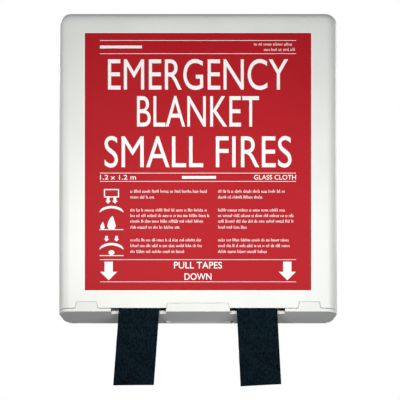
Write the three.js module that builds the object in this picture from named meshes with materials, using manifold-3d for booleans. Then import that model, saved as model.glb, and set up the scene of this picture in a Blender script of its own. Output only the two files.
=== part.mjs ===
// A wall-mounted fire blanket in a moulded ABS case, as an assembly of separate parts.
//
// Units are millimetres and +Z is up. The front faces -Y, and the origin is the centre of the
// flat back face that lies against the wall, so the whole case stands at negative Y.
//
// The case is one rounded box, parted into a back shell, a front cover and a bottom flap. The
// flap lies on a slope, turns on a pin at the bottom of the back shell, and laps the cover with
// three tongues. Pulling the two tapes draws the leading fold of the blanket down, and the flap
// swings down and back out of its way.

import * as THREE from 'three';
import { mergeVertices } from 'three/addons/utils/BufferGeometryUtils.js';
import Module from 'manifold-3d';

const wasm = await Module();
wasm.setup();

// ---------------------------------------------------------------- driving dimensions

const CASE_WIDTH = 279;
const CASE_HEIGHT = 312;
const FRONT_Y = -40;
const CORNER_RADIUS = 12;
const EDGE_RADIUS = 11;
const WALL = 2.4;
const GAP = 0.3;

// The parting plane between the cover and the flap, which falls towards the wall.
const SEAM_Z = -139;
const SEAM_SLOPE = THREE.MathUtils.degToRad(20);
const FLAP_THICKNESS = 3.2;
const FLAP_FLOOR = 2.2;
const FLAP_LIP_DEPTH = 10;
const FLAP_REAR_Y = -4.2;
const FLAP_CORNER_X = 130.5;
const FLAP_CORNER_Y = -6.9;

const BACK_PLATE = 3;
const FLANGE_WALL = 1.8;
const FLANGE_DEPTH = 13;
const FLANGE_GAP = 0.4;
const FLANGE_END_Z = -146;

const HINGE_Y = -6;
const KNUCKLE_RADIUS = 2.4;
const KNUCKLE_HALF = 26;
const EAR_INNER = 26.4;
const EAR_OUTER = 33;
const EAR_RELIEF = 36;
const PIN_RADIUS = 1.1;
const PIN_HALF = 34.5;
const PIN_BORE_RADIUS = 1.4;

// Tongues of the flap that lap the front of the cover.
const TONGUE_THICKNESS = 1;
const TONGUE_RECESS = TONGUE_THICKNESS + GAP;
const TONGUES = [
  { x: -111.5, top: -132.9, halfTop: 9.9, halfSeam: 11.2 },
  { x: 0, top: -134.3, halfTop: 30.5, halfSeam: 31.2 },
  { x: 111.5, top: -132.9, halfTop: 9.9, halfSeam: 11.2 },
];

// Notches in the lip of the flap, where the tapes come out.
const NOTCH_INNER_X = 32;
const NOTCH_OUTER_X = 87;
const NOTCH_REAR_Y = -32.8;

const TAPE_WIDTH = 40.6;
const TAPE_THICKNESS = 1.2;
const TAPE_FRONT_Y = -36.95;
const TAPE_X = 59;
const TAPE_TOP_Z = -52;
const TAPE_HINGE_Z = -141;
const TAPE_END_Z = -216.5;
const TAPES = [
  { side: 'left', x: -TAPE_X, lean: -5.6, cut: 0 },
  { side: 'right', x: TAPE_X, lean: 4, cut: 1.1 },
];

const STITCH_SIZE = 30;
const STITCH_WIDTH = 1.2;
const STITCH_THICKNESS = 0.3;
const STITCH_Z = -102;

const TOUCH = 0.05;
const FOLD_HALF_WIDTH = 120;
const FOLD_THICKNESS = 3.4;
const FOLD_TOP_Z = -46;
const FOLD_FOOT_Z = -124;

const PACK_WIDTH = 240;
const PACK_TOP_Z = 137;
const PACK_FOOT_Z = -125;
const PACK_FRONT_Y = -31.6;
const PACK_REAR_Y = -9.6;
const PACK_ROUND = 6;

const LABEL_WIDTH = 228.6;
const LABEL_TOP_Z = 137.1;
const LABEL_FOOT_Z = -122.4;
const LABEL_THICKNESS = 0.3;

const POST_X = 129.5;
const POST_TOP_Z = 128;
const POST_FOOT_Z = -108;
const POST_RADIUS = 4.2;
const POST_REAR_Y = -5.3;
const BOSS_RADIUS = 5;
const BOSS_FRONT_Y = -5;
const COUNTERBORE_RADIUS = 3.3;
const COUNTERBORE_DEPTH = 2.6;
const SCREW_CLEARANCE_RADIUS = 1.9;
const SCREW_PILOT_RADIUS = 1.6;
const SCREW_PILOT_END_Y = -18.5;

const KEYHOLE_X = 80;
const KEYHOLE_Z = 118;
const KEYHOLE_HEAD_RADIUS = 4.8;
const KEYHOLE_SLOT_RADIUS = 2.4;
const KEYHOLE_TRAVEL = 12;

// A length that runs well past any part, for cutting right through.
const FAR = 400;

// ---------------------------------------------------------------- materials

function plastic(color, roughness) {
  return new THREE.MeshStandardMaterial({ color, roughness, metalness: 0 });
}

const MATERIALS = {
  whiteAbs: () => plastic('#eceee8', 0.45),
  backAbs: () => plastic('#e2e4de', 0.55),
  redLabel: () => plastic('#b41624', 0.35),
  glassCloth: () => plastic('#e6e3d8', 0.9),
  navyWebbing: () => plastic('#0f1a22', 0.85),
  whiteThread: () => plastic('#d9d7cf', 0.8),
  zincSteel: () => new THREE.MeshStandardMaterial({ color: '#b9bcc0', roughness: 0.35, metalness: 1 }),
};

// ---------------------------------------------------------------- solids

// A closed geometry as a solid that can be joined and cut.
function toSolid(geometry) {
  const bare = geometry.clone();
  bare.deleteAttribute('normal');
  bare.deleteAttribute('uv');
  const merged = mergeVertices(bare, 1e-4);
  const index = merged.index.array;
  const triangles = [];
  for (let i = 0; i < index.length; i += 3) {
    const [a, b, c] = [index[i], index[i + 1], index[i + 2]];
    if (a !== b && b !== c && c !== a) triangles.push(a, b, c);
  }
  return new wasm.Manifold(new wasm.Mesh({
    numProp: 3,
    vertProperties: merged.attributes.position.array,
    triVerts: new Uint32Array(triangles),
  }));
}

function toGeometry(solid) {
  const { vertProperties, triVerts } = solid.getMesh();
  const geometry = new THREE.BufferGeometry();
  geometry.setAttribute('position', new THREE.BufferAttribute(vertProperties, 3));
  geometry.setIndex(new THREE.BufferAttribute(triVerts, 1));
  geometry.computeVertexNormals();
  return geometry;
}

function join(solids) {
  return solids.reduce((sum, next) => sum.add(next));
}

function cut(solid, tools) {
  return tools.reduce((rest, tool) => rest.subtract(tool), solid);
}

function block(x0, x1, y0, y1, z0, z1) {
  const geometry = new THREE.BoxGeometry(x1 - x0, y1 - y0, z1 - z0);
  geometry.translate((x0 + x1) / 2, (y0 + y1) / 2, (z0 + z1) / 2);
  return toSolid(geometry);
}

// A cylinder along Y, between two depths.
function rodY(x, z, radius, y0, y1, sides = 24) {
  const geometry = new THREE.CylinderGeometry(radius, radius, y1 - y0, sides);
  geometry.translate(x, (y0 + y1) / 2, z);
  return toSolid(geometry);
}

// A cylinder along X about the hinge axis of the flap.
function rodX(radius, x0, x1, sides = 24) {
  const geometry = new THREE.CylinderGeometry(radius, radius, x1 - x0, sides);
  geometry.rotateZ(Math.PI / 2);
  geometry.translate((x0 + x1) / 2, HINGE_Y, HINGE_Z);
  return toSolid(geometry);
}

// An outline in X and Z, drawn out along Y from yRear forward to yFront.
function plateY(points, yRear, yFront) {
  const shape = new THREE.Shape(points.map(([x, z]) => new THREE.Vector2(x, z)));
  const geometry = new THREE.ExtrudeGeometry(shape, { depth: yRear - yFront, bevelEnabled: false });
  geometry.rotateX(Math.PI / 2);
  geometry.translate(0, yRear, 0);
  return toSolid(geometry);
}

// A profile in Y and Z, drawn out along X.
function prismX(points, x0, x1) {
  const shape = new THREE.Shape(points.map(([y, z]) => new THREE.Vector2(y, z)));
  const geometry = new THREE.ExtrudeGeometry(shape, { depth: x1 - x0, bevelEnabled: false });
  const turn = new THREE.Matrix4().makeBasis(
    new THREE.Vector3(0, 1, 0),
    new THREE.Vector3(0, 0, 1),
    new THREE.Vector3(1, 0, 0),
  );
  geometry.applyMatrix4(turn);
  geometry.translate(x0, 0, 0);
  return toSolid(geometry);
}

function roundedRectangle(width, height, radius) {
  const x = width / 2 - radius;
  const y = height / 2 - radius;
  const quarter = Math.PI / 2;
  const shape = new THREE.Shape();
  shape.absarc(x, y, radius, 0, quarter);
  shape.absarc(-x, y, radius, quarter, 2 * quarter);
  shape.absarc(-x, -y, radius, 2 * quarter, 3 * quarter);
  shape.absarc(x, -y, radius, 3 * quarter, 4 * quarter);
  return shape;
}

// The case's rounded box, set in from its outer skin, from the wall to its rounded front.
function caseBlock(inset) {
  const edge = EDGE_RADIUS - inset;
  const outline = roundedRectangle(
    CASE_WIDTH - 2 * inset,
    CASE_HEIGHT - 2 * inset,
    CORNER_RADIUS - inset,
  );
  const geometry = new THREE.ExtrudeGeometry(outline, {
    depth: -FRONT_Y - inset - edge,
    bevelThickness: edge,
    bevelSize: edge,
    bevelOffset: -edge,
    bevelSegments: 5,
    curveSegments: 6,
  });
  geometry.rotateX(Math.PI / 2);
  return toSolid(geometry);
}

// Height of the parting plane at a depth.
function seamZ(y) {
  return SEAM_Z - (y - FRONT_Y) * Math.tan(SEAM_SLOPE);
}

// Everything between two heights above the parting plane, and between two depths.
function slopedSlab(low, high, yFront, yRear) {
  const profile = [
    [yFront, seamZ(yFront) + low],
    [yRear, seamZ(yRear) + low],
    [yRear, seamZ(yRear) + high],
    [yFront, seamZ(yFront) + high],
  ];
  return prismX(profile, -FAR / 2, FAR / 2);
}

const HINGE_Z = seamZ(HINGE_Y) - GAP - FLAP_THICKNESS / 2;
const TAPE_REAR_Y = TAPE_FRONT_Y + TAPE_THICKNESS;
const FOLD_FRONT_Y = TAPE_REAR_Y + TOUCH;
const SCREW_PLACES = [
  { name: 'upper_left', x: -POST_X, z: POST_TOP_Z },
  { name: 'upper_right', x: POST_X, z: POST_TOP_Z },
  { name: 'lower_left', x: -POST_X, z: POST_FOOT_Z },
  { name: 'lower_right', x: POST_X, z: POST_FOOT_Z },
];

// ---------------------------------------------------------------- case

function tongueOutline({ x, top, halfTop, halfSeam }, margin, foot) {
  const halfFoot = halfTop + ((halfSeam - halfTop) * (top - foot)) / (top - SEAM_Z);
  return [
    [x - halfFoot - margin, foot],
    [x + halfFoot + margin, foot],
    [x + halfTop + margin, top + margin],
    [x - halfTop - margin, top + margin],
  ];
}

// A hollow box, open at the wall and at the foot, with four screw posts and three shallow
// recesses that the tongues of the flap lie in.
function frontCover() {
  const rearY = -BACK_PLATE - GAP;
  const shell = caseBlock(0)
    .subtract(caseBlock(WALL))
    .intersect(slopedSlab(0, FAR, -FAR / 4, rearY));
  const posts = SCREW_PLACES.map(({ x, z }) => rodY(x, z, POST_RADIUS, FRONT_Y + WALL - 0.4, POST_REAR_Y));
  const pilots = SCREW_PLACES.map(({ x, z }) => rodY(x, z, SCREW_PILOT_RADIUS, SCREW_PILOT_END_Y, 0));
  const recesses = TONGUES.map((tongue) => plateY(
    tongueOutline(tongue, 0.4, SEAM_Z - 10),
    FRONT_Y + TONGUE_RECESS,
    FRONT_Y - 5,
  ));
  return cut(join([shell, ...posts]), [...pilots, ...recesses]);
}

// Holes that a wall screw's head goes in by, with a slot above for its neck.
function keyhole(x) {
  const slotTop = KEYHOLE_Z + KEYHOLE_TRAVEL;
  const slot = block(
    x - KEYHOLE_SLOT_RADIUS,
    x + KEYHOLE_SLOT_RADIUS,
    -FLANGE_DEPTH,
    FLANGE_DEPTH,
    KEYHOLE_Z,
    slotTop,
  );
  return join([
    rodY(x, KEYHOLE_Z, KEYHOLE_HEAD_RADIUS, -FLANGE_DEPTH, FLANGE_DEPTH, 32),
    rodY(x, slotTop, KEYHOLE_SLOT_RADIUS, -FLANGE_DEPTH, FLANGE_DEPTH, 24),
    slot,
  ]);
}

function hingeEar(x0, x1) {
  const arm = block(x0, x1, HINGE_Y, -BACK_PLATE / 2, HINGE_Z - KNUCKLE_RADIUS, HINGE_Z + KNUCKLE_RADIUS);
  return join([rodX(KNUCKLE_RADIUS, x0, x1), arm]);
}

// The plate against the wall, with a flange that locates the cover, screw bosses, keyholes,
// and the two ears that carry the hinge pin.
function backShell() {
  const plate = caseBlock(0).intersect(block(-FAR, FAR, -BACK_PLATE, 0, -FAR, FAR));
  const inset = WALL + FLANGE_GAP;
  const flange = caseBlock(inset)
    .subtract(caseBlock(inset + FLANGE_WALL))
    .intersect(block(-FAR, FAR, -FLANGE_DEPTH, -BACK_PLATE / 2, FLANGE_END_Z, FAR));
  const bosses = SCREW_PLACES.map(({ x, z }) => rodY(x, z, BOSS_RADIUS, BOSS_FRONT_Y, -BACK_PLATE / 2));
  const ears = [hingeEar(-EAR_OUTER, -EAR_INNER), hingeEar(EAR_INNER, EAR_OUTER)];
  const holes = SCREW_PLACES.flatMap(({ x, z }) => [
    rodY(x, z, COUNTERBORE_RADIUS, -COUNTERBORE_DEPTH, 5),
    rodY(x, z, SCREW_CLEARANCE_RADIUS, -FLANGE_DEPTH, 0),
  ]);
  const bore = rodX(PIN_BORE_RADIUS, -FAR / 8, FAR / 8);
  const keyholes = [keyhole(-KEYHOLE_X), keyhole(KEYHOLE_X)];
  return cut(join([plate, flange, ...bosses, ...ears]), [...holes, ...keyholes, bore]);
}

// A sloping plate with a thicker lip in front, three tongues, two notches for the tapes, and
// a knuckle between the ears of the back shell.
function bottomFlap() {
  const plate = caseBlock(0).intersect(slopedSlab(-GAP - FLAP_THICKNESS, -GAP, -FAR / 4, FLAP_REAR_Y));
  const pocket = caseBlock(WALL).intersect(slopedSlab(
    -GAP - FLAP_THICKNESS + FLAP_FLOOR,
    GAP,
    FRONT_Y + FLAP_LIP_DEPTH,
    HINGE_Y - 2 * KNUCKLE_RADIUS,
  ));
  const tongues = TONGUES.map((tongue) => plateY(
    tongueOutline(tongue, 0, SEAM_Z - GAP - 1),
    FRONT_Y + TONGUE_THICKNESS,
    FRONT_Y,
  ));
  const knuckle = rodX(KNUCKLE_RADIUS, -KNUCKLE_HALF, KNUCKLE_HALF);
  const reliefY = HINGE_Y - 1.5 * KNUCKLE_RADIUS;
  const span = (side, inner, outer) => (side > 0 ? [inner, outer] : [-outer, -inner]);
  const mirrored = [-1, 1].flatMap((side) => [
    block(...span(side, NOTCH_INNER_X, NOTCH_OUTER_X), FRONT_Y - 5, NOTCH_REAR_Y, -FAR, SEAM_Z + 5),
    block(...span(side, KNUCKLE_HALF, EAR_RELIEF), reliefY, 0, -FAR, 0),
    block(...span(side, FLAP_CORNER_X, FAR), FLAP_CORNER_Y, 0, -FAR, 0),
  ]);
  const bore = rodX(PIN_BORE_RADIUS, -FAR / 8, FAR / 8);
  return cut(join([plate.subtract(pocket), ...tongues, knuckle]), [...mirrored, bore]);
}

function hingePin() {
  return rodX(PIN_RADIUS, -PIN_HALF, PIN_HALF);
}

// A pan-head self-tapping screw along Y, with its head towards the wall.
function coverScrew() {
  const headFloor = -COUNTERBORE_DEPTH + GAP;
  const profile = [
    [0, -17],
    [1.25, -14],
    [1.25, headFloor],
    [2.8, headFloor],
    [2.8, -1.2],
    [2.1, -0.4],
    [0, -0.3],
  ];
  return new THREE.LatheGeometry(profile.map(([r, y]) => new THREE.Vector2(r, y)), 20);
}

function labelSheet() {
  const rearY = FRONT_Y - TOUCH;
  const half = LABEL_WIDTH / 2;
  return block(-half, half, rearY - LABEL_THICKNESS, rearY, LABEL_FOOT_Z, LABEL_TOP_Z);
}

// ---------------------------------------------------------------- blanket

// The folded bulk of the blanket, as one soft block with rounded folds at its sides.
function blanketPack() {
  const depth = PACK_REAR_Y - PACK_FRONT_Y;
  const height = PACK_TOP_Z - PACK_FOOT_Z;
  const outline = roundedRectangle(PACK_WIDTH, height, PACK_ROUND + 2);
  const geometry = new THREE.ExtrudeGeometry(outline, {
    depth: depth - 2 * PACK_ROUND,
    bevelThickness: PACK_ROUND,
    bevelSize: PACK_ROUND,
    bevelOffset: -PACK_ROUND,
    bevelSegments: 3,
    curveSegments: 4,
  });
  geometry.rotateX(Math.PI / 2);
  geometry.translate(0, PACK_REAR_Y - PACK_ROUND, (PACK_TOP_Z + PACK_FOOT_Z) / 2);
  return geometry;
}

// The fold that comes out first, to which the tapes are sewn.
function leadFold() {
  const round = FOLD_THICKNESS / 2;
  const middleY = FOLD_FRONT_Y + round;
  const steps = 8;
  const profile = [];
  for (let i = 0; i <= steps; i += 1) {
    const angle = Math.PI + (i * Math.PI) / steps;
    profile.push([middleY + round * Math.cos(angle), FOLD_FOOT_Z + round + round * Math.sin(angle)]);
  }
  profile.push([middleY + round, FOLD_TOP_Z], [middleY - round, FOLD_TOP_Z]);
  return prismX(profile, -FOLD_HALF_WIDTH, FOLD_HALF_WIDTH);
}

// The stretch of a tape that is sewn to the fold and runs down to the slot.
function sewnTape(x) {
  const half = TAPE_WIDTH / 2;
  return block(x - half, x + half, TAPE_FRONT_Y, TAPE_REAR_Y, TAPE_HINGE_Z + 1, TAPE_TOP_Z);
}

// The stretch that hangs below the slot, about its own turning line.
function hangingTape({ lean, cut: slant }) {
  const half = TAPE_WIDTH / 2;
  const top = -GAP;
  const foot = TAPE_END_Z - TAPE_HINGE_Z;
  const outline = [
    [-half, top],
    [lean - half, foot - slant],
    [lean + half, foot + slant],
    [half, top],
  ];
  return plateY(outline, TAPE_THICKNESS / 2, -TAPE_THICKNESS / 2);
}

// A square of stitches with a cross, lying on the face of a tape.
function tapeStitching(x) {
  const half = STITCH_SIZE / 2;
  const inner = half - STITCH_WIDTH;
  const rearY = TAPE_FRONT_Y - TOUCH;
  const frontY = rearY - STITCH_THICKNESS;
  const frame = block(-half, half, frontY, rearY, -half, half)
    .subtract(block(-inner, inner, frontY - 1, rearY + 1, -inner, inner));
  const diagonals = [-1, 1].map((side) => {
    const reach = (inner + STITCH_WIDTH / 2) * Math.SQRT2;
    const bar = new THREE.BoxGeometry(2 * reach, STITCH_THICKNESS, STITCH_WIDTH);
    bar.rotateY((side * Math.PI) / 4);
    bar.translate(0, (frontY + rearY) / 2, 0);
    return toSolid(bar);
  });
  return join([frame, ...diagonals]).translate([x, 0, STITCH_Z]);
}

// ---------------------------------------------------------------- assembly

function part(name, shape, material) {
  const geometry = shape.isBufferGeometry ? shape : toGeometry(shape);
  const mesh = new THREE.Mesh(geometry, material());
  mesh.name = name;
  return mesh;
}

function group(...meshes) {
  const set = new THREE.Group();
  set.add(...meshes);
  return set;
}

const casing = group(
  part('front_cover', frontCover(), MATERIALS.whiteAbs),
  part('back_shell', backShell(), MATERIALS.backAbs),
  part('hinge_pin', hingePin(), MATERIALS.zincSteel),
  part('label_sheet', labelSheet(), MATERIALS.redLabel),
);

for (const { name, x, z } of SCREW_PLACES) {
  const screw = part(`cover_screw_${name}`, coverScrew(), MATERIALS.zincSteel);
  screw.position.set(x, 0, z);
  casing.add(screw);
}

const flap = group(part('bottom_flap', bottomFlap(), MATERIALS.whiteAbs));

const blanket = group(
  part('blanket_pack', blanketPack(), MATERIALS.glassCloth),
  part('blanket_lead_fold', leadFold(), MATERIALS.glassCloth),
);

for (const tape of TAPES) {
  const hanging = part(`${tape.side}_tape_hanging`, hangingTape(tape), MATERIALS.navyWebbing);
  hanging.position.set(tape.x, (TAPE_FRONT_Y + TAPE_REAR_Y) / 2, TAPE_HINGE_Z);
  blanket.add(
    part(`${tape.side}_tape_sewn`, sewnTape(tape.x), MATERIALS.navyWebbing),
    part(`${tape.side}_tape_stitching`, tapeStitching(tape.x), MATERIALS.whiteThread),
    hanging,
  );
}

const fireBlanket = new THREE.Group();
fireBlanket.add(casing, flap, blanket);

export default fireBlanket;
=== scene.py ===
# %% [markdown]
# # A fire blanket in its wall case
#
# The real object is a flat box of white moulded ABS that hangs on a wall. A red printed label
# covers its front, two dark woven tapes hang out of its foot, and a folded glass-cloth blanket
# waits inside. The solid model already fixes every size and every joint, so this lesson only
# rebuilds each piece finely and gives it the finish of the real material.

# %% Load the fixed frame
import math
import random
from functools import partial

import bmesh
import bpy
from mathutils import Matrix, Vector, noise


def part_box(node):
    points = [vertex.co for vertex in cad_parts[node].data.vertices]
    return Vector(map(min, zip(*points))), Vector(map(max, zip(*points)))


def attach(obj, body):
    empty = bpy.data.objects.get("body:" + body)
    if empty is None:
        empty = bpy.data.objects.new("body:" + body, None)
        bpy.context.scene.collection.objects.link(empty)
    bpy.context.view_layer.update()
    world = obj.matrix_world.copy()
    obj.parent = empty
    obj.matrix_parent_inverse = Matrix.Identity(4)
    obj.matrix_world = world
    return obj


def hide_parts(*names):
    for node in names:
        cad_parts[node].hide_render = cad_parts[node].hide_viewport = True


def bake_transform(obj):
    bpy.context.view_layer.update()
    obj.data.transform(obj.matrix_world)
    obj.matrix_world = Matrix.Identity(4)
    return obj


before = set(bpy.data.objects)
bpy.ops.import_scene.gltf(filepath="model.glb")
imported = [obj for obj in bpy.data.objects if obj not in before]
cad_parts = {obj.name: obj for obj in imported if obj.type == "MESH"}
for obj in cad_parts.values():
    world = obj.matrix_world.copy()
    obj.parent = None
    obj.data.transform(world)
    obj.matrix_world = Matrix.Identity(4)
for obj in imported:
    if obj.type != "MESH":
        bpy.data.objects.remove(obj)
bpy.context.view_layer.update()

MM = 0.001

# %% [markdown]
# ## The sizes that everything follows
#
# Each place below is read from the boxes of the solid parts, so the fine pieces land exactly on
# them. Only what a box can't tell is written here: wall thickness, radii, and the slope of the
# line where the cover meets the flap. HAIR, TOUCH and NEAR are distances in metres, below which
# two places count as the same.

# %% Driving sizes
HAIR, TOUCH, NEAR = 1e-7, 1e-6, 1e-5
back_lo, back_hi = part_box("back_shell")
cover_lo, cover_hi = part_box("front_cover")
label_lo, label_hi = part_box("label_sheet")

CORNER_RADIUS = 12 * MM
EDGE_RADIUS = 11 * MM
WALL = 2.4 * MM
SEAM_SLOPE = math.tan(math.radians(20))
SEAM_GAP = 0.3 * MM
FLAP_THICKNESS = 3.2 * MM

front_y = cover_lo.y
seam_front = cover_lo.z + (cover_hi.y - front_y) * SEAM_SLOPE


def seam_z(y):
    """Height of the sloping seam between cover and flap at a depth."""
    return seam_front - (y - front_y) * SEAM_SLOPE


print("seam at the front, mm:", round(seam_front / MM, 2), " at the wall:", round(seam_z(0) / MM, 2))

# %% [markdown]
# ## The camera and the light come first
#
# A catalogue picture of a wall case is taken square on with a long lens, from a little below the
# middle, so the sides stay parallel and the sloping underside just shows. A small lens shift keeps
# the picture plane parallel to the front, where tilting the camera would make the sides converge.

# %% Camera
VIEW_WIDTH = 400 * MM
VIEW_CENTRE = Vector((2 * MM, 0, -31 * MM))
VIEW_DISTANCE = 2.2
VIEW_SHIFT = (-0.05, 0.08)

camera_data = bpy.data.cameras.new("studio_camera")
camera_data.sensor_width = 36
camera_data.lens = camera_data.sensor_width * VIEW_DISTANCE / VIEW_WIDTH
camera_data.shift_x, camera_data.shift_y = VIEW_SHIFT
camera_data.clip_start, camera_data.clip_end = 0.1, 50
camera = bpy.data.objects.new("studio_camera", camera_data)
camera.location = (
    VIEW_CENTRE.x - VIEW_SHIFT[0] * VIEW_WIDTH,
    front_y - VIEW_DISTANCE,
    VIEW_CENTRE.z - VIEW_SHIFT[1] * VIEW_WIDTH,
)
camera.rotation_euler = (math.radians(90), 0, 0)
bpy.context.collection.objects.link(camera)
bpy.context.scene.camera = camera
bpy.context.scene.view_settings.view_transform = "Standard"
print("camera at", [round(v, 3) for v in camera.location], "lens", round(camera_data.lens), "mm")

# %% [markdown]
# ## Helpers for materials
#
# Artists name colours as sRGB hex values, while shaders calculate in linear light, so one function
# turns the first into the second. A second one adds a shader node with its settings and its links,
# and each material passes it on already tied to its own node tree, which keeps the recipes short.

# %% Colour and node helpers


def linear(code):
    """An sRGB hex colour as the linear RGBA that shaders take."""
    channels = [int(code[i : i + 2], 16) / 255 for i in (1, 3, 5)]
    bent = [c / 12.92 if c <= 0.04045 else ((c + 0.055) / 1.055) ** 2.4 for c in channels]
    return (*bent, 1.0)


def feed(node, inputs):
    """Gives sockets their values, or links them to an output, or to a node's first output."""
    for socket, value in inputs.items():
        if isinstance(value, bpy.types.Node):
            value = value.outputs[0]
        if isinstance(value, bpy.types.NodeSocket):
            node.id_data.links.new(value, node.inputs[socket])
        else:
            node.inputs[socket].default_value = value


def add(tree, kind, inputs=None, **settings):
    """Adds one shader node with its settings, and feeds its inputs."""
    made = tree.nodes.new(f"ShaderNode{kind}")
    for name, value in settings.items():
        setattr(made, name, value)
    feed(made, inputs or {})
    return made


def material(name):
    """A new material, its surface shader, and the function that adds nodes to its tree."""
    made = bpy.data.materials.new(name)
    made.use_nodes = True
    tree = made.node_tree
    return made, tree.nodes["Principled BSDF"], partial(add, tree)


# %% [markdown]
# ## White ABS, injection moulded with a spark-eroded skin
#
# ABS has an IOR of about 1.54. The tool is eroded by sparks, which leaves a fine, even grain that
# softens reflections to a satin. The grain is about a quarter of a millimetre across. It is drawn
# twice as coarse here, so that it still shows. Broad, faint clouds stand for the plastic's flow and
# for handling, and roughness follows them a little.

# %% White ABS


def moulded_abs(name, pale, shaded, roughness, grain=0.55 * MM):
    made, shader, node = material(name)
    place = node("TexCoord").outputs["Object"]
    clouds = node("TexNoise", {"Vector": place, "Scale": 1 / (70 * MM), "Detail": 3.0})
    grains = node("TexNoise", {"Vector": place, "Scale": 1 / grain, "Detail": 2.0})
    specks = node("TexVoronoi", {"Vector": place, "Scale": 1 / (9 * MM)})
    colour = node("ValToRGB", {"Fac": clouds})
    for stop, position, tone in zip(colour.color_ramp.elements, (0.35, 0.62), (shaded, pale)):
        stop.position = position
        stop.color = linear(tone)
    dust = node("MapRange", {"Value": specks, "From Min": 0.012, "From Max": 0.03})
    feed(dust, {"To Min": 0.22, "To Max": 0.0})
    dusted = node("Mix", {"Factor": dust, "A": colour, "B": linear("#9a968c")}, data_type="RGBA")
    gloss = node("MapRange", {"Value": clouds, "To Min": roughness - 0.05, "To Max": roughness + 0.06})
    bump = node("Bump", {"Height": grains, "Strength": 0.35, "Distance": 0.02 * MM})
    feed(shader, {"Base Color": dusted.outputs["Result"], "Roughness": gloss, "Normal": bump})
    feed(shader, {"IOR": 1.54})
    return made


white_abs = moulded_abs("ABS white, spark-eroded moulding", "#ebeeea", "#e6e9e4", 0.42)
flap_abs = moulded_abs("ABS white, flap moulding", "#e9ebe7", "#e2e5e0", 0.45)
back_abs = moulded_abs("ABS off-white, back moulding", "#e0e2dc", "#d5d7d0", 0.5, grain=0.7 * MM)
print("ABS finishes:", white_abs.name, "/", flap_abs.name, "/", back_abs.name)

# %% [markdown]
# ## Printed label film
#
# The label is a vinyl film, screen printed in one flat red that leaves the white film bare for the
# letters. Ink lies in a thin, slightly uneven coat, so the red varies by a few percent. Its matt
# skin reflects little, so the specular level is low. The bare film is a touch smoother.

# %% Label finishes


def label_film(name, ink, thin_ink, roughness):
    made, shader, node = material(name)
    place = node("TexCoord").outputs["Object"]
    mottle = node("TexNoise", {"Vector": place, "Scale": 1 / (2.2 * MM), "Detail": 5.0})
    wash = node("TexNoise", {"Vector": place, "Scale": 1 / (90 * MM), "Detail": 2.0})
    fine = node("Math", {0: mottle, 1: 0.35}, operation="MULTIPLY")
    both = node("Math", {0: wash, 1: 0.65, 2: fine}, operation="MULTIPLY_ADD")
    coat = node("MapRange", {"Value": both, "From Min": 0.3, "From Max": 0.7})
    colour = node("Mix", {"Factor": coat, "A": linear(ink), "B": linear(thin_ink)}, data_type="RGBA")
    ripple = node("TexNoise", {"Vector": place, "Scale": 1 / (14 * MM), "Detail": 2.0})
    bump = node("Bump", {"Height": ripple, "Strength": 0.2, "Distance": 0.06 * MM})
    gloss = node("MapRange", {"Value": mottle, "To Min": roughness - 0.04, "To Max": roughness + 0.06})
    feed(shader, {"Base Color": colour.outputs["Result"], "Roughness": gloss, "Normal": bump})
    feed(shader, {"IOR": 1.5, "Specular IOR Level": 0.2})
    return made


red_ink = label_film("Vinyl film, screen-printed red", "#b00516", "#b80b1c", 0.55)
bare_film = label_film("Vinyl film, bare white", "#fbf8f7", "#fefdfc", 0.45)
print("label finishes:", red_ink.name, "/", bare_film.name)

# %% [markdown]
# ## Woven finishes
#
# Webbing and glass cloth are both plain weaves: each lengthwise yarn goes over one cross yarn and
# under the next, and its neighbour does the opposite. The pattern follows the piece's own UV map,
# which is laid out in metres, so a yarn keeps its real width however the cloth is folded.
# A cosine across each yarn rounds it, and a cosine along it, half a step out in every second yarn,
# lifts and sinks it. That height also darkens the colour towards the hollows between yarns, a
# painted shade, while random patches and flecks vary the tone.

# %% Woven finishes


def woven(name, crown, hollow_shade, yarn, pick, fleck_size, depth):
    made, shader, node = material(name)
    cloth = node("UVMap", uv_map="cloth")
    split = node("SeparateXYZ", {0: cloth})
    across = node("Math", {0: split.outputs["X"], 1: yarn}, operation="DIVIDE")
    along = node("Math", {0: split.outputs["Y"], 1: pick}, operation="DIVIDE")
    column = node("Math", {0: across}, operation="FLOOR")
    stepped = node("Math", {0: column, 1: 0.5, 2: along}, operation="MULTIPLY_ADD")
    turn = node("Math", {0: stepped, 1: 2 * math.pi}, operation="MULTIPLY")
    wave = node("Math", {0: turn}, operation="COSINE")
    lift = node("Math", {0: wave, 1: 0.5, 2: 0.9}, operation="MULTIPLY_ADD")
    within = node("Math", {0: across}, operation="FRACT")
    half_turn = node("Math", {0: within, 1: math.pi}, operation="MULTIPLY")
    round_yarn = node("Math", {0: half_turn}, operation="SINE")
    height = node("Math", {0: lift, 1: round_yarn}, operation="MULTIPLY")
    fuzz = node("TexNoise", {"Vector": cloth, "Scale": 1 / (0.5 * MM), "Detail": 4.0})
    patches = node("TexNoise", {"Vector": cloth, "Scale": 1 / (12 * MM), "Detail": 3.0})
    flecks = node("TexNoise", {"Vector": cloth, "Scale": 1 / fleck_size, "Detail": 1.0})
    # Both noises swing about 0.5, and 1.15 takes their weighted middle back to zero.
    mottle = node("Math", {0: patches, 1: 0.8, 2: -1.15}, operation="MULTIPLY_ADD")
    uneven = node("Math", {0: flecks, 1: 1.5, 2: mottle}, operation="MULTIPLY_ADD")
    # Painted shade: the colour darkens with the yarn height towards the hollows, plus random mottle.
    tone = node("Math", {0: height, 1: 0.62, 2: uneven}, operation="MULTIPLY_ADD", use_clamp=True)
    colour = node("Mix", {"Factor": tone, "A": linear(hollow_shade), "B": linear(crown)}, data_type="RGBA")
    rough_top = node("Math", {0: fuzz, 1: 0.45, 2: height}, operation="MULTIPLY_ADD")
    bump = node("Bump", {"Height": rough_top, "Strength": 0.8, "Distance": depth})
    feed(shader, {"Base Color": colour.outputs["Result"], "Normal": bump})
    feed(shader, {"IOR": 1.5, "Sheen Roughness": 0.5})
    return made, shader


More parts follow.
